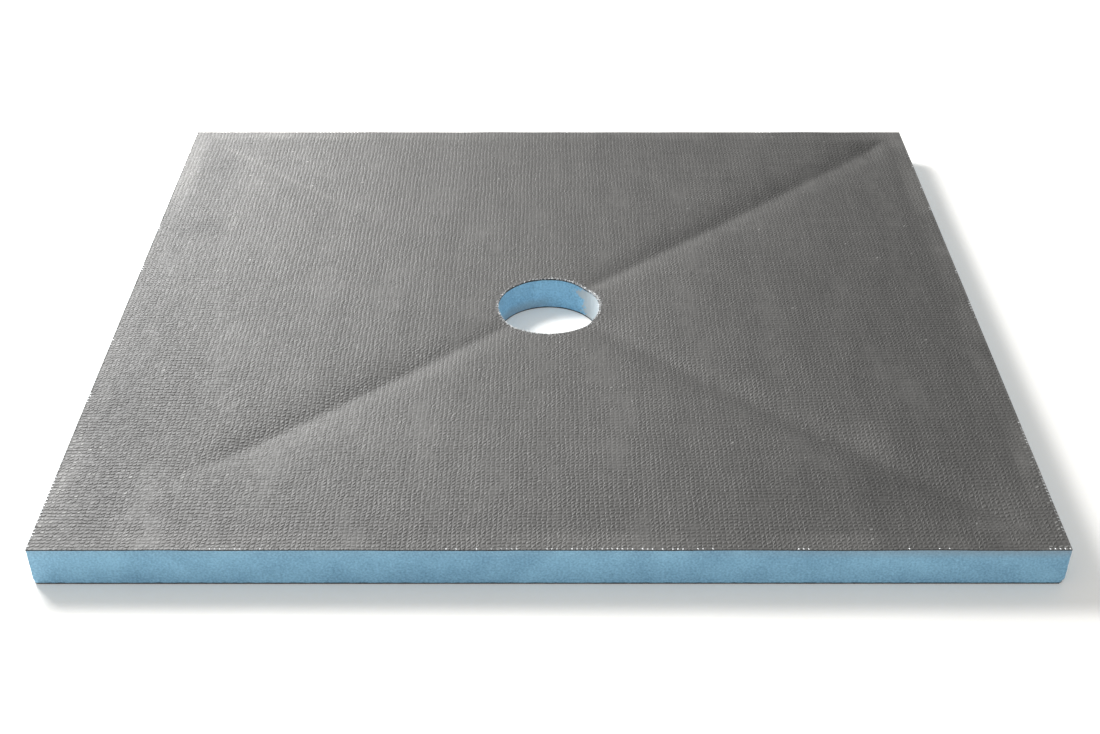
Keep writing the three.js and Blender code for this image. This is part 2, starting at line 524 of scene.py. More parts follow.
def wall_rows(loop, outward, low, high, inset, rows):
    """Points of a wall that stands on a closed loop: rows of the loop from low to high, each
    point moved back against its outward direction by inset(place along the loop, height)."""
    share = np.linspace(0, 1, rows + 1)[:, None]
    z = low + (high - low) * share
    step = np.hypot(*(np.roll(loop, -1, 0) - loop).T)
    along = np.concatenate([[0], np.cumsum(step)[:-1]])
    back = inset(np.broadcast_to(along, z.shape), z)
    x = loop[:, 0] - outward[:, 0] * back
    y = loop[:, 1] - outward[:, 1] * back
    return np.stack([x, y, z], 2).reshape(-1, 3)


def wall_faces(count, rows, first):
    """Quads between the rows of a wall on an anticlockwise loop, facing away from it."""
    i = np.arange(count)
    j = (np.arange(rows) * count)[:, None]
    here, beside = first + j + i, first + j + (i + 1) % count
    return np.stack([here, beside, beside + count, here + count], 2).reshape(-1, 4)


def board_loop(step):
    """The board's outline as points a step apart, anticlockwise, with directions outwards."""
    corners = np.array([[-1, -1], [1, -1], [1, 1], [-1, 1]]) * (HALF_X, HALF_Y)
    points, outward = [], []
    for start, end in zip(corners, np.roll(corners, -1, 0)):
        count = round(np.hypot(*(end - start)) / step)
        share = np.arange(count)[:, None] / count
        side = (end - start) / np.hypot(*(end - start))
        points.append(start + (end - start) * share)
        outward.append(np.tile((side[1], -side[0]), (count, 1)))
        outward[-1][0] = np.sign(start)
    return np.concatenate(points), np.concatenate(outward)


def cut_marks(along, z, seed):
    """How far a cut foam wall lies back: a constant, upright marks, dents, and open cells."""
    draw = np.random.default_rng(seed)
    marks = 0.06 * MM * waves(along, 0 * z, 4 * MM, 16 * MM, seed)
    dents = 0.07 * MM * waves(along, z, 5 * MM, 22 * MM, seed + 1)
    cells = 0.05 * MM * draw.normal(0, 1, np.broadcast(along, z).shape)
    return np.maximum(SET_BACK + marks + dents + cells, 0.03 * MM)


print(f"walls: {len(board_loop(FOAM_STEP)[0])} points round the board, set back {SET_BACK / MM} mm")

# %% [markdown]
# The foam isn't clean. Grey mortar dust is rubbed over it under the top edge. The hole's
# wall has painted light and shade: a pale painted highlight on its right, where it is lit,
# and a grey painted shade at its foot on the left. All could be painted as pictures, but as
# formulas of the place they are one value on each vertex, which the foam's material mixes in.

# %% Dust, painted highlight and painted shade on the foam


def hole_wall_painted_highlight(x, y, z):
    """A painted highlight on the right of the hole's wall, where it is lit: 0 to 1 and half on
    its edge, which lies at 45 degrees, with a tongue at mid height, and at 35 degrees on the
    front side."""
    angle = np.degrees(np.arctan2(y - HOLE[1], x - HOLE[0]))
    tongue = 15 * np.exp(-((z / MM - 26) / 4) ** 2)
    within = np.minimum(angle + 35, 45 + tongue - angle) / 25
    at_hole = np.hypot(x - HOLE[0], y - HOLE[1]) < HOLE_RADIUS + 2 * MM
    return np.where(at_hole, np.clip(0.5 + within, 0, 1), 0)


def edge_dust_and_foot_shade(x, y, z):
    """Grey mortar dust rubbed over the foam under the top edge in front, most at the right,
    and grey painted shade at the foot of the hole's wall, most at its left."""
    under_edge = smoothstep(TOP - 13 * MM, TOP - 1 * MM, z)
    front = under_edge * (0.15 + 0.5 * smoothstep(0.1, 0.40, x)) * (y < HOLE[1] - HOLE_RADIUS - MM)
    at_hole = np.hypot(x - HOLE[0], y - HOLE[1]) < HOLE_RADIUS + 2 * MM
    # Painted shade: the foot of the hole's wall is greyed, most at its left, where the wall is in shade.
    foot = smoothstep(16 * MM, 4 * MM, z) * smoothstep(20 * MM, -25 * MM, x)
    return front + 0.6 * foot * at_hole


front_row = np.linspace(-HALF_X, HALF_X, 5)
print("rubbed grey along the front's top edge:", edge_dust_and_foot_shade(front_row, -HALF_Y, TOP - MM).round(2))

# %% [markdown]
# The foam is one closed piece: the outer wall, the wall of the hole, and two hidden faces
# between their first and last rows. Its lower corners are knocked off with the coating's.

# %% The foam core


def foam_piece():
    """The outer wall, the wall of the hole, and the two hidden faces between them."""
    outline, outward = board_loop(FOAM_STEP)
    count = round(2 * np.pi * HOLE_RADIUS / (0.75 * FOAM_STEP))
    angle = np.arange(count) / count * 2 * np.pi
    into_hole = np.column_stack([np.cos(angle), -np.sin(angle)])
    hole_loop = HOLE + HOLE_RADIUS * into_hole
    rows = round((TOP - SKIN - CORE_FOOT) / FOAM_STEP)
    outer = wall_rows(outline, outward, CORE_FOOT, core_top(*outline.T),
                      lambda along, z: cut_marks(along, z, seed=51), rows)
    outer[:, 0], outer[:, 1] = knock_corners(*outer.T)
    hole = wall_rows(hole_loop, -into_hole, CORE_FOOT, core_top(*hole_loop.T),
                     lambda along, z: cut_marks(along, z, seed=61), rows)
    parts = [wall_faces(len(outline), rows, 0), wall_faces(count, rows, len(outer))]
    points, total = [outer, hole], len(outer) + len(hole)
    for row, height, upward in ((0, lambda x, y: np.full(x.shape, CORE_FOOT), False),
                                (rows, core_top, True)):
        ids = np.concatenate([row * len(outline) + np.arange(len(outline)),
                              len(outer) + row * count + np.arange(count)])
        loops = np.concatenate([outer, hole])[ids][:, :2]
        i, j = np.arange(len(outline)), np.arange(count)
        edges = np.concatenate([np.stack([i, (i + 1) % len(outline)], 1),
                                len(outline) + np.stack([j, (j + 1) % count], 1)])
        plan, faces = fill_plan(loops, edges, FINE_FILL if upward else COARSE_FILL)
        grid = plan[len(ids):]
        points.append(np.column_stack([grid, height(grid[:, 0], grid[:, 1])]))
        renumber = np.concatenate([ids, total + np.arange(len(grid))])
        total += len(grid)
        parts.append(renumber[faces] if upward else renumber[faces][:, ::-1])
    points = np.concatenate(points)
    # dust is a painted highlight on the hole's wall; rubbed is dust under the top edge and painted shade
    # at the foot of the hole's wall.
    return make_piece("foam_body", points, parts, "foam", "foam_core",
                      dust=hole_wall_painted_highlight(*points.T), rubbed=edge_dust_and_foot_shade(*points.T))


foam_body = foam_piece()

# %% [markdown]
# Where the hole saw cut the mesh, bare glass shows: round the rim each cut thread frays into
# a tuft of short filaments. Hair strands would draw them too, but they leave no mesh, so all
# are rods in one mesh. A filament is a few hundredths of a millimetre thick, which would not
# show, so these are drawn about ten times as thick.

# %% Glass filaments


def rods(start, direction, length, radius, lift=0.0, sides=4, steps=3):
    """Tapered rods as one mesh: points start + direction * length * t + up * lift * t * t,
    with a ring of sides round each and a radius that shrinks to a third at the tip."""
    t = np.linspace(0, 1, steps + 1)[None, :, None]
    centre = start[:, None] + direction[:, None] * (length[:, None, None] * t)
    centre[..., 2] += np.broadcast_to(lift, length.shape)[:, None] * t[..., 0] ** 2
    across = np.cross(direction, (0.3, 0.2, 0.93))
    across /= np.linalg.norm(across, axis=1, keepdims=True)
    upward = np.cross(across, direction)
    turn = np.arange(sides) / sides * 2 * np.pi
    ring = (across[:, None, None] * np.cos(turn)[:, None]
            + upward[:, None, None] * np.sin(turn)[:, None])
    taper = radius[:, None, None, None] * (1 - 0.67 * t)[..., None]
    points = (centre[:, :, None] + ring * taper).reshape(-1, 3)
    first = (np.arange(len(start)) * (steps + 1) * sides)[:, None, None]
    k, s = np.arange(steps)[:, None] * sides, np.arange(sides)
    here, beside = first + k + s, first + k + (s + 1) % sides
    quads = np.stack([here, here + sides, beside + sides, beside], 3).reshape(-1, 4)
    foot = (first[:, 0] + s).reshape(-1, sides)
    tip = (first[:, 0] + steps * sides + s).reshape(-1, sides)[:, ::-1]
    return points, [quads, foot, tip]


def unit(vectors):
    """The same directions with length one."""
    return vectors / np.linalg.norm(vectors, axis=1, keepdims=True)


def rim_tufts():
    """Where the rim cuts a thread, a few filaments that point along the thread into the
    hole, and between them shorter ones that point any way."""
    draw = np.random.default_rng(71)
    warps = np.arange(-HALF_X, HALF_X, WARP_PITCH)
    warps = warps[np.abs(warps - HOLE[0]) < HOLE_RADIUS * 0.97]
    wefts = np.arange(-HALF_Y, HALF_Y, WEFT_PITCH)
    wefts = wefts[np.abs(wefts - HOLE[1]) < HOLE_RADIUS * 0.97]
    tilt = np.concatenate([np.arccos((warps - HOLE[0]) / HOLE_RADIUS),
                           -np.arccos((warps - HOLE[0]) / HOLE_RADIUS),
                           np.arcsin((wefts - HOLE[1]) / HOLE_RADIUS),
                           np.pi - np.arcsin((wefts - HOLE[1]) / HOLE_RADIUS)])
    inward = np.concatenate([np.tile((0, -1.0), (len(warps), 1)), np.tile((0, 1.0), (len(warps), 1)),
                             np.tile((-1.0, 0), (len(wefts), 1)), np.tile((1.0, 0), (len(wefts), 1))])
    per_tuft, loose = 8, 900
    angle = np.concatenate([np.repeat(tilt, per_tuft), draw.uniform(0, 2 * np.pi, loose)])
    angle += draw.normal(0, 0.5 * MM, len(angle)) / HOLE_RADIUS
    heading = np.concatenate([np.repeat(inward, per_tuft, 0),
                              -np.column_stack([np.cos(angle[-loose:]), np.sin(angle[-loose:])])])
    count = len(angle)
    outward = draw.uniform(0, 1, count) < 0.35
    heading[outward] *= -1
    spread = np.concatenate([np.full(count - loose, 0.35), np.full(loose, 0.8)])
    rise = np.where(outward, draw.uniform(0.05, 0.5, count), draw.uniform(-0.2, 0.7, count))
    direction = unit(np.column_stack([heading + draw.normal(0, 1, (count, 2)) * spread[:, None],
                                      rise]))
    root = HOLE_RADIUS + draw.uniform(0, 1.6, count) * MM
    x, y = HOLE[0] + root * np.cos(angle), HOLE[1] + root * np.sin(angle)
    start = np.column_stack([x, y, top_height(x, y) - 0.05 * MM])
    length = np.concatenate([draw.uniform(0.8, 2.4, count - loose), draw.uniform(0.6, 1.8, loose)]) * MM
    frayed = np.maximum(np.cos(angle - np.radians(25)), 0.6 * np.cos(angle - np.radians(215)))
    length *= 0.75 + 0.75 * np.maximum(frayed, 0)
    radius, lift = draw.uniform(0.13, 0.26, count) * MM, draw.uniform(-0.3, 0.3, count) * MM
    kept = draw.uniform(0, 1, count) < 0.14 + 0.86 * np.maximum(frayed, 0) ** 1.5
    points, faces = rods(start[kept], direction[kept], length[kept], radius[kept], lift[kept])
    return make_piece("rim_filaments", points, faces, "coating")


rim_filaments = rim_tufts()

# %% [markdown]
# Along the edges the saw has chipped the mortar off some thread ends, which show as a row of
# pale dots. Particles could scatter them, but a thread end has its place on the net, so each
# is put on its thread by number, and only the chance of being bare is random.

# %% Bare thread ends along the edges
BARE_LENGTH = 1.6 * MM


def bare_share(along, side):
    """The chance that a thread end is bare, by its place along its side: patchy everywhere,
    and high in the stretches where the photographed board has lost its mortar."""
    patchy = 0.5 * smoothstep(0.5, 1.6, waves(along, 0 * along, 25 * MM, 120 * MM, seed=80 + side))
    stretches = {0: ((-285, 62), (438, 20), (60, 70)), 1: ((-330, 45), (-235, 12)),
                 2: ((250, 60),), 3: ((340, 60),)}
    for middle, half in stretches[side]:
        patchy = np.maximum(patchy, 0.85 * np.exp(-((along / MM - middle) / half) ** 4))
    return patchy


def edge_stubs():
    """Flat bundles of three rods at the ends of the bare threads, level with the mortar."""
    draw = np.random.default_rng(91)
    starts, headings = [], []
    sides = (((1, 0), (0, -1), HALF_X, HALF_Y, WARP_PITCH), ((0, 1), (1, 0), HALF_Y, HALF_X, WEFT_PITCH),
             ((-1, 0), (0, 1), HALF_X, HALF_Y, WARP_PITCH), ((0, -1), (-1, 0), HALF_Y, HALF_X, WEFT_PITCH))
    for side, (run, out, half, reach, pitch) in enumerate(sides):
        along = np.arange(-half + pitch / 2, half - 1 * MM, pitch)
        along = along[draw.uniform(0, 1, len(along)) < bare_share(along, side)]
        for offset in (-0.42, 0.0, 0.42):
            place = along + offset * MM
            length = BARE_LENGTH * draw.uniform(0.7, 1.3, len(place))
            flat = np.outer(place, run) + np.outer(reach - 0.1 * MM - length, out)
            z = np.minimum(top_height(*flat.T) + 0.12 * MM, TOP - 0.31 * MM)
            starts.append(np.column_stack([flat, z, length]))
            headings.append(np.tile((*out, 0.0), (len(place), 1)))
    starts, headings = np.concatenate(starts), np.concatenate(headings)
    points, faces = rods(starts[:, :3], headings, starts[:, 3],
                         draw.uniform(0.22, 0.30, len(starts)) * MM, sides=5, steps=1)
    return make_piece("edge_threads", points, faces, "coating")


edge_threads = edge_stubs()

# %% [markdown]
# A material is a tree of nodes. One helper adds a node with its settings and its links, one
# turns a colour as a screen shows it into the linear values that Blender works with, and one
# makes a new material. Trees can be wired by hand too, but the lines of a script are easier
# to read and to change.

# %% Nodes and colours


def add(tree, kind, sockets=(), **settings):
    """One node. settings are its own properties, and sockets its inputs by name or number,
    each a plain value or the output of another node."""
    node = tree.nodes.new(kind)
    for name, value in settings.items():
        setattr(node, name, value)
    for key, value in dict(sockets).items():
        if isinstance(value, bpy.types.NodeSocket):
            tree.links.new(value, node.inputs[key])
        else:
            node.inputs[key].default_value = value
    return node


def linear(hex_colour):
    """An sRGB colour such as "#8a8a88" as linear red, green and blue, with alpha 1."""
    channels = np.array([int(hex_colour[i:i + 2], 16) / 255 for i in (1, 3, 5)])
    dark = channels / 12.92
    light = ((channels + 0.055) / 1.055) ** 2.4
    return (*np.where(channels <= 0.04045, dark, light), 1.0)


def new_material(name, **shader_values):
    """A material with one Principled shader, its tree, and the shader."""
    material = bpy.data.materials.new(name)
    material.use_nodes = True
    shader = material.node_tree.nodes["Principled BSDF"]
    for key, value in shader_values.items():
        shader.inputs[key.replace("_", " ")].default_value = value
    return material, material.node_tree, shader


print("the foam's pale blue, linear:", np.round(linear("#8fc3df")[:3], 3))

# %% [markdown]
# The mesh under the mortar is a leno weave, in which a warp crosses each weft as a short
# slanted float. Wave or brick textures could draw a plain net, but no float that leans a
# little differently from place to place. So the pattern is a formula over the thread numbers
# that are kept on the vertices, bent by noise.

# %% The weave
STRAY = 0.9                        # how far noise bends the threads, in pitches
FLOAT_HALF_WIDTH = 0.42            # of the slanted float on a crossing, in pitches


def mesh_pattern(tree, place):
    """The mesh as a pattern over the thread numbers. Where a warp crosses a weft it lies on
    top as a short slanted float: 1 on the line v = slant * u through the crossing, falling
    to 0 beside it and at its ends. Returns the float's height, each times its crossing's
    own random number, and the heights of the warps and of the wefts alone."""
    thread = add(tree, "ShaderNodeAttribute", attribute_name="thread").outputs["Vector"]
    cover = add(tree, "ShaderNodeAttribute", attribute_name="cover").outputs["Fac"]
    stray = add(tree, "ShaderNodeTexNoise", {"Vector": place, "Scale": 1 / 0.0065, "Detail": 1.0})
    centred = add(tree, "ShaderNodeVectorMath", {0: stray.outputs["Color"], 1: (0.5, 0.5, 0.5)},
                  operation="SUBTRACT")
    bent = add(tree, "ShaderNodeVectorMath", {0: centred.outputs[0], 1: (STRAY, STRAY, 0.0),
                                              2: thread}, operation="MULTIPLY_ADD")
    moved = add(tree, "ShaderNodeVectorMath", {0: bent.outputs[0], 1: (0.5, 0.5, 0.0)},
                operation="ADD")
    crossing = add(tree, "ShaderNodeVectorMath", {0: moved.outputs[0]}, operation="FLOOR")
    share = add(tree, "ShaderNodeVectorMath", {0: moved.outputs[0]}, operation="FRACTION")
    off = add(tree, "ShaderNodeVectorMath", {0: share.outputs[0], 1: (0.5, 0.5, 0.0)},
              operation="SUBTRACT")
    u, v = add(tree, "ShaderNodeSeparateXYZ", {0: off.outputs[0]}).outputs[:2]

    lean = add(tree, "ShaderNodeTexNoise", {"Vector": place, "Scale": 1 / 0.028, "Detail": 1.0})
    slant = add(tree, "ShaderNodeMapRange", {"Value": lean.outputs[0], "From Min": 0.3,
                                             "From Max": 0.7, "To Min": -0.1, "To Max": -1.1})
    line = add(tree, "ShaderNodeMath", {0: u, 1: slant.outputs[0], 2: v}, operation="MULTIPLY_ADD")
    heights = []
    for distance, flat, foot in ((line.outputs[0], 0.0, FLOAT_HALF_WIDTH), (u, 0.2, 0.52), (v, 0.0, 0.5)):
        size = add(tree, "ShaderNodeMath", {0: distance}, operation="ABSOLUTE")
        heights.append(add(tree, "ShaderNodeMapRange", {
            "Value": size.outputs[0], "From Min": flat, "From Max": foot, "To Min": 1.0,
            "To Max": 0.0}, interpolation_type="SMOOTHSTEP").outputs[0])
    oval = add(tree, "ShaderNodeMath", {0: heights[0], 1: heights[1]}, operation="MULTIPLY")
    chance = add(tree, "ShaderNodeTexWhiteNoise", {"Vector": crossing.outputs[0]})
    uneven = add(tree, "ShaderNodeMapRange", {"Value": chance.outputs["Value"], "To Min": 0.5,
                                              "To Max": 1.5})
    free = add(tree, "ShaderNodeMapRange", {"Value": cover, "To Min": 1.0, "To Max": 0.25})
    shown = add(tree, "ShaderNodeMath", {0: uneven.outputs[0], 1: free.outputs[0]},
                operation="MULTIPLY")
    raised = add(tree, "ShaderNodeMath", {0: oval.outputs[0], 1: shown.outputs[0]},
                 operation="MULTIPLY")
    return bent.outputs[0], raised.outputs[0], heights[1], heights[2]


print(f"floats {2 * FLOAT_HALF_WIDTH * WARP_PITCH / MM:.1f} mm wide, on threads "
      f"{WARP_PITCH / MM} and {WEFT_PITCH / MM} mm apart")

# %% [markdown]
# The mortar has more than one grey. Single threads differ over a long way, the blade leaves
# long smears along its path, and small blots lie between. Noise that is drawn out along one
# axis gives each of them. Smears and blots follow Object coordinates in metres, so that a
# scale is one over a real size, and the threads' own tone follows the thread numbers.

# %% Tones of the mortar
MEAN_TONE = 0.73                   # of the mortar's colours, as a factor
WARP_TONE, WEFT_TONE = 0.26, 0.22  # how much single threads differ
SMEAR_TONE, BLOT_TONE = 0.32, 0.20    # smears 28 mm wide and 100 long, blots of 9 by 14 mm


def mortar_tone(tree, place, bent):
    """A factor for the colour: each thread has its own paleness over a long way, the blade
    left smears along its path, and the paler places, with the painted shade and painted
    light beside three valleys, are kept on the vertices."""
    # The pale attribute also carries the painted shade and painted light beside three valleys.
    tone = add(tree, "ShaderNodeAttribute", attribute_name="pale").outputs["Fac"]
    for vector, scales, weight in ((bent, (0.8, 0.03, 0.0), WARP_TONE),
                                   (bent, (0.03, 0.8, 0.0), WEFT_TONE),
                                   (place, (1 / 0.028, 1 / 0.100, 1.0), SMEAR_TONE),
                                   (place, (1 / 0.009, 1 / 0.014, 1.0), BLOT_TONE)):
        drawn_out = add(tree, "ShaderNodeVectorMath", {0: vector, 1: scales}, operation="MULTIPLY")
        noise = add(tree, "ShaderNodeTexNoise", {"Vector": drawn_out.outputs[0], "Scale": 1.0,
                                                 "Detail": 2.0})
        tone = add(tree, "ShaderNodeMath", {0: noise.outputs[0], 1: weight, 2: tone},
                   operation="MULTIPLY_ADD").outputs[0]
    mean_noise = 0.5 * (WARP_TONE + WEFT_TONE + SMEAR_TONE + BLOT_TONE)
    return add(tree, "ShaderNodeMath", {0: tone, 1: MEAN_TONE - mean_noise},
               operation="ADD").outputs[0]


print("mean tone of the mortar:", MEAN_TONE)

# %% [markdown]
# Polymer-modified cement mortar, spread and scraped: a matt grey with a faint sheen from
# the polymer. The floats are paler than the gaps, partly the glass under thin mortar and
# partly a painted highlight where they catch the light, and the dark gaps are painted shade
# in the pits. The floats also stand up as bump, on top of the net's own relief, with sand
# and lumps over all. Cement has an index of refraction near 1.5.

# %% Mortar
FLOAT_BUMP, WEFT_BUMP, WARP_BUMP = 0.64, 0.18, 0.04      # heights in millimetres
LUMP_BUMP, SAND_BUMP = 0.30, 0.14


def mortar_material(name, gap_shade_hex, ground_hex, thread_and_highlight_hex, cover_hex, roughness):
    """Mortar over the mesh: gaps dark as painted shade, floats pale, partly as painted
    highlight, sand in both, and the relief as bump.
    """
    material, tree, shader = new_material(name, IOR=1.5)
    place = add(tree, "ShaderNodeTexCoord").outputs["Object"]
    bent, raised, warp, weft = mesh_pattern(tree, place)
    cover = add(tree, "ShaderNodeAttribute", attribute_name="cover").outputs["Fac"]
    blotch = add(tree, "ShaderNodeTexNoise", {"Vector": place, "Scale": 1 / 0.0045, "Detail": 2.0})
    grain = add(tree, "ShaderNodeTexNoise", {"Vector": place, "Scale": 1 / 0.0011, "Detail": 2.0})

    level = add(tree, "ShaderNodeMath", {0: raised, 1: 0.30, 2: 0.02}, operation="MULTIPLY_ADD")
    sandy = add(tree, "ShaderNodeMath", {0: grain.outputs[0], 1: 0.7, 2: level.outputs[0]},
                operation="MULTIPLY_ADD")
    shade = add(tree, "ShaderNodeValToRGB", {"Fac": sandy.outputs[0]})
    stops = shade.color_ramp.elements
    # The gap colour is painted shade in the pits; the thread colour is partly a painted highlight on the
    # floats.
    stops[0].position, stops[0].color = 0.1, linear(gap_shade_hex)
    stops[1].position, stops[1].color = 1.0, linear(thread_and_highlight_hex)
    middle = stops.new(0.5)
    middle.color = linear(ground_hex)
    drowned = add(tree, "ShaderNodeMixRGB", {"Fac": cover, "Color1": shade.outputs[0],
                                             "Color2": linear(cover_hex)})
    colour = add(tree, "ShaderNodeVectorMath", {0: drowned.outputs[0],
                                                "Scale": mortar_tone(tree, place, bent)},
                 operation="SCALE")
    bare = add(tree, "ShaderNodeAttribute", attribute_name="bare").outputs["Fac"]
    fleck = add(tree, "ShaderNodeMapRange", {"Value": bare, "From Min": 0.30, "From Max": 0.75},
                interpolation_type="SMOOTHSTEP")
    on_float = add(tree, "ShaderNodeMath", {0: fleck.outputs[0], 1: raised}, operation="MULTIPLY",
                   use_clamp=True)
    flecked = add(tree, "ShaderNodeMixRGB", {"Fac": on_float.outputs[0], "Color1": colour.outputs[0],
                                             "Color2": linear("#92928f")})
    tree.links.new(flecked.outputs[0], shader.inputs["Base Color"])
    rough = add(tree, "ShaderNodeMapRange", {"Value": blotch.outputs[0], "From Min": 0.3,
                                             "From Max": 0.7, "To Min": roughness - 0.06,
                                             "To Max": roughness + 0.06})
    tree.links.new(rough.outputs[0], shader.inputs["Roughness"])

    height = add(tree, "ShaderNodeMath", {0: raised, 1: FLOAT_BUMP}, operation="MULTIPLY").outputs[0]
    for part, bump in ((weft, WEFT_BUMP), (warp, WARP_BUMP), (blotch.outputs[0], LUMP_BUMP),
                       (grain.outputs[0], SAND_BUMP)):
        height = add(tree, "ShaderNodeMath", {0: part, 1: bump, 2: height},
                     operation="MULTIPLY_ADD").outputs[0]
    bump = add(tree, "ShaderNodeBump", {"Height": height, "Strength": 1.0, "Distance": MM})
    tree.links.new(bump.outputs[0], shader.inputs["Normal"])
    return material


top_mortar = mortar_material("mortar_over_glass_mesh", "#3a3938", "#504f4d", "#73726f", "#575654",
                             0.60)
under_mortar = mortar_material("mortar_underside", "#434246", "#525154", "#6c6b6e", "#555457",
                               0.60)
print("mortars:", top_mortar.name, under_mortar.name)

# %% [markdown]
# The saw has left the mortar's own section bare at the edges: darker than the rubbed faces,
# and full of grit. Its dark is partly its own colour and partly painted shade, so that the
# underside's edge shows as a dark line at the board's foot. It could be a piece of its own, but
# the coating's upright faces are known by their normals, so they simply get a second material.

# %% Sawn edges


def cut_edge_material():
    """The mortar's own section where it was sawn: dark, partly its own colour and partly
    painted shade, full of grit.
    """
    material, tree, shader = new_material("mortar_sawn_edge", IOR=1.5, Roughness=0.8)
    place = add(tree, "ShaderNodeTexCoord").outputs["Object"]
    grit = add(tree, "ShaderNodeTexNoise", {"Vector": place, "Scale": 1 / 0.0012, "Detail": 3.0})
    shade = add(tree, "ShaderNodeValToRGB", {"Fac": grit.outputs[0]})
    shade.color_ramp.elements[0].position, shade.color_ramp.elements[1].position = 0.35, 0.75
    # The dark end is partly painted shade, for the dark line at the board's foot.
    shade.color_ramp.elements[0].color = linear("#212425")
    shade.color_ramp.elements[1].color = linear("#4c4f50")
    tree.links.new(shade.outputs[0], shader.inputs["Base Color"])
    bump = add(tree, "ShaderNodeBump", {"Height": grit.outputs[0], "Strength": 0.6, "Distance": 0.4 * MM})
    tree.links.new(bump.outputs[0], shader.inputs["Normal"])
    return material


def dress_skin(skin, face_material, cut_material):
    """One material for the two broad faces, and the other for the upright cut edges."""
    normals = np.empty(len(skin.data.polygons) * 3, np.float32)
    skin.data.polygons.foreach_get("normal", normals)
    skin.data.materials.append(face_material)
    skin.data.materials.append(cut_material)
    upright = np.abs(normals[2::3]) < 0.5
    skin.data.polygons.foreach_set("material_index", upright.astype(np.int32))


sawn_mortar = cut_edge_material()
dress_skin(top_skin, top_mortar, sawn_mortar)
dress_skin(bottom_skin, under_mortar, sawn_mortar)
print("sawn edges:", sawn_mortar.name)

# %% [markdown]
# Extruded polystyrene, dyed pale blue and cut: closed cells a few tenths of a millimetre
# across that scatter the light, so it looks soft and chalky with a fine grain. The cells
# are drawn about three times too large to show at all. Polystyrene's index is 1.59.

# %% Foam


def foam_material():
    """Cut foam: blue clouds and grain, a painted highlight on the right of the hole's wall,
    grey dust under the edge and painted shade at the foot of the hole.
    """
    material, tree, shader = new_material("extruded_polystyrene_cut", IOR=1.59, Roughness=0.62)
    place = add(tree, "ShaderNodeTexCoord").outputs["Object"]
    cloud = add(tree, "ShaderNodeTexNoise", {"Vector": place, "Scale": 1 / 0.035, "Detail": 2.0})
    cells = add(tree, "ShaderNodeTexVoronoi", {"Vector": place, "Scale": 1 / 0.0016})
    grain = add(tree, "ShaderNodeTexNoise", {"Vector": place, "Scale": 1 / 0.0020, "Detail": 3.0})
    mixed = add(tree, "ShaderNodeMath", {0: cloud.outputs[0], 1: 0.6, 2: grain.outputs[0]},
                operation="MULTIPLY_ADD")
    shade = add(tree, "ShaderNodeValToRGB", {"Fac": mixed.outputs[0]})
    shade.color_ramp.elements[0].position, shade.color_ramp.elements[1].position = 0.50, 1.0
    shade.color_ramp.elements[0].color = linear("#6595b4")
    shade.color_ramp.elements[1].color = linear("#8fc3df")
    # rubbed: grey dust under the top edge, and painted shade at the foot of the hole's wall.
    rubbed = add(tree, "ShaderNodeAttribute", attribute_name="rubbed").outputs["Fac"]
    greyed = add(tree, "ShaderNodeMixRGB", {"Fac": rubbed, "Color1": shade.outputs[0],
                                            "Color2": linear("#84929c")})
    # dust: a painted highlight, the pale colour below on the right of the hole's wall where it is lit.
    dust = add(tree, "ShaderNodeAttribute", attribute_name="dust").outputs["Fac"]
    torn = add(tree, "ShaderNodeTexNoise", {"Vector": place, "Scale": 1 / 0.005, "Detail": 5.0,
                                                "Roughness": 0.7})
    edge = add(tree, "ShaderNodeMath", {0: torn.outputs[0], 1: 1.6, 2: dust},
               operation="MULTIPLY_ADD")
    painted_highlight_share = add(tree, "ShaderNodeMapRange", {"Value": edge.outputs[0], "From Min": 1.25,
                                             "From Max": 1.35})
    whitened = add(tree, "ShaderNodeMixRGB", {"Fac": painted_highlight_share.outputs[0], "Color1": greyed.outputs[0],
                                              "Color2": linear("#aab1b4")})
    tree.links.new(whitened.outputs[0], shader.inputs["Base Color"])
    height = add(tree, "ShaderNodeMath", {0: cells.outputs[0], 1: 0.6, 2: grain.outputs[0]},
                 operation="MULTIPLY_ADD")
    bump = add(tree, "ShaderNodeBump", {"Height": height.outputs[0], "Strength": 0.7,
                                        "Distance": 0.4 * MM})
    tree.links.new(bump.outputs[0], shader.inputs["Normal"])
    return material


foam_body.data.materials.append(foam_material())

# %% [markdown]
# Glass roving, bare and dry: white, with a silky gloss along the filaments, and dusty with
# cement here and there. Clear glass would need light to pass through it, but a bundle of
# fine filaments scatters it and looks white, so this is a plain white with a low roughness.

# %% Bare glass


def glass_thread_material():
    """Bare glass roving, white, with cloudy grey where cement dust sticks to it."""
    material, tree, shader = new_material("glass_roving_bare", IOR=1.52, Roughness=0.35)
    place = add(tree, "ShaderNodeTexCoord").outputs["Object"]
    dust = add(tree, "ShaderNodeTexNoise", {"Vector": place, "Scale": 1 / 0.006, "Detail": 2.0})
    shade = add(tree, "ShaderNodeValToRGB", {"Fac": dust.outputs[0]})
    shade.color_ramp.elements[0].position, shade.color_ramp.elements[1].position = 0.35, 0.6
    shade.color_ramp.elements[0].color = linear("#a5a6a6")
    shade.color_ramp.elements[1].color = linear("#eef0f1")
    tree.links.new(shade.outputs[0], shader.inputs["Base Color"])
    return material


bare_glass = glass_thread_material()
for piece in (rim_filaments, edge_threads):
    piece.data.materials.append(bare_glass)

# %% [markdown]
# The board lies on a white paper floor under an even white sky. Two soft lights stand to its
# left and behind it, as parts of one large window. The high one gives most of the light and
# the soft shadow at the right and in front. The low one rakes over the far left, where the
# mesh stands out most. Both are near, so that the board is brightest at the left.

# %% Floor, sky and light
FLOOR_GLOW = 0.08


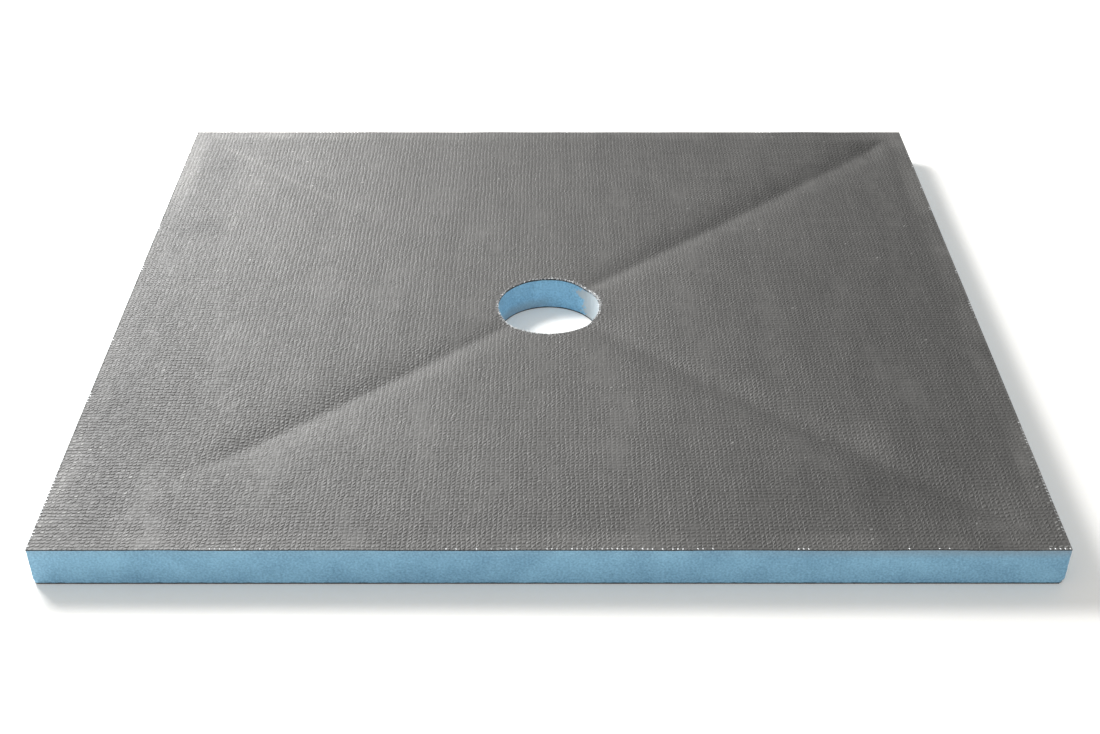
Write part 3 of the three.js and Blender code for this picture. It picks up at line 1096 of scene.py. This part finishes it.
def white_paper():
    """The floor: white paper with a faint fibre, which glows a little as if lit all round."""
    material, tree, shader = new_material("white_paper_floor", Roughness=0.9)
    place = add(tree, "ShaderNodeTexCoord").outputs["Object"]
    fibre = add(tree, "ShaderNodeTexNoise", {"Vector": place, "Scale": 1 / 0.004, "Detail": 2.0})
    shade = add(tree, "ShaderNodeValToRGB", {"Fac": fibre.outputs[0]})
    shade.color_ramp.elements[0].color = linear("#f6f4f0")
    shade.color_ramp.elements[1].color = linear("#fcfaf6")
    tree.links.new(shade.outputs[0], shader.inputs["Base Color"])
    tree.links.new(shade.outputs[0], shader.inputs["Emission Color"])
    shader.inputs["Emission Strength"].default_value = FLOOR_GLOW
    return material


FLOOR_HALF = 6.0
floor_mesh = bpy.data.meshes.new("floor")
floor_mesh.from_pydata([(-FLOOR_HALF, -FLOOR_HALF, 0), (FLOOR_HALF, -FLOOR_HALF, 0),
                        (FLOOR_HALF, FLOOR_HALF, 0), (-FLOOR_HALF, FLOOR_HALF, 0)],
                       [], [(0, 1, 2, 3)])
floor = bpy.data.objects.new("floor", floor_mesh)
bpy.context.scene.collection.objects.link(floor)
floor.data.materials.append(white_paper())

sky = bpy.data.worlds.new("even_white_sky")
sky.use_nodes = True
sky.node_tree.nodes["Background"].inputs["Color"].default_value = (1, 1, 1, 1)
sky.node_tree.nodes["Background"].inputs["Strength"].default_value = 0.60
bpy.context.scene.world = sky


def soft_light(name, place, target, size, power):
    """An area light of size (width, height) in metres that faces its target."""
    lamp = bpy.data.lights.new(name, "AREA")
    lamp.shape, lamp.size, lamp.size_y = "RECTANGLE", size[0], size[1]
    lamp.energy = power
    light = bpy.data.objects.new(name, lamp)
    bpy.context.scene.collection.objects.link(light)
    light.location = place
    light.rotation_euler = (Vector(target) - Vector(place)).to_track_quat("-Z", "Y").to_euler()
    return light


soft_light("window_low", (-0.85, 0.95, 0.42), (0.0, -0.05, 0.0), (0.9, 0.3), 15)
soft_light("window_high", (-1.1, 0.85, 1.30), (0.0, 0.0, 0.0), (0.9, 0.6), 58)
bpy.context.scene.view_settings.view_transform = "Standard"

# %% [markdown]
# The camera was found by laying the board's corners and the hole's rim over the picture: it
# stands 1.4 metres in front of the hole and 0.93 metres up, looks down 35 degrees, and is
# turned by a tenth of a degree. A focal length is given in pixels of an 1100 pixel picture.

# %% Camera
PICTURE_WIDTH = 1100
FOCAL_PIXELS = 1544.8
CAMERA_PLACE = (-1.24 * MM, -1397.6 * MM, 928.8 * MM)
PITCH, YAW, ROLL = np.radians((34.964, 0.106, 0.060))

lens = bpy.data.cameras.new("camera")
lens.sensor_width = 36.0
lens.lens = FOCAL_PIXELS / PICTURE_WIDTH * lens.sensor_width
lens.clip_end = 50.0
camera = bpy.data.objects.new("camera", lens)
bpy.context.scene.collection.objects.link(camera)
camera.matrix_world = (Matrix.Translation(CAMERA_PLACE) @ Matrix.Rotation(-YAW, 4, "Z")
                       @ Matrix.Rotation(np.pi / 2 - PITCH, 4, "X") @ Matrix.Rotation(ROLL, 4, "Z"))
bpy.context.scene.camera = camera
print(f"lens {lens.lens:.2f} mm")
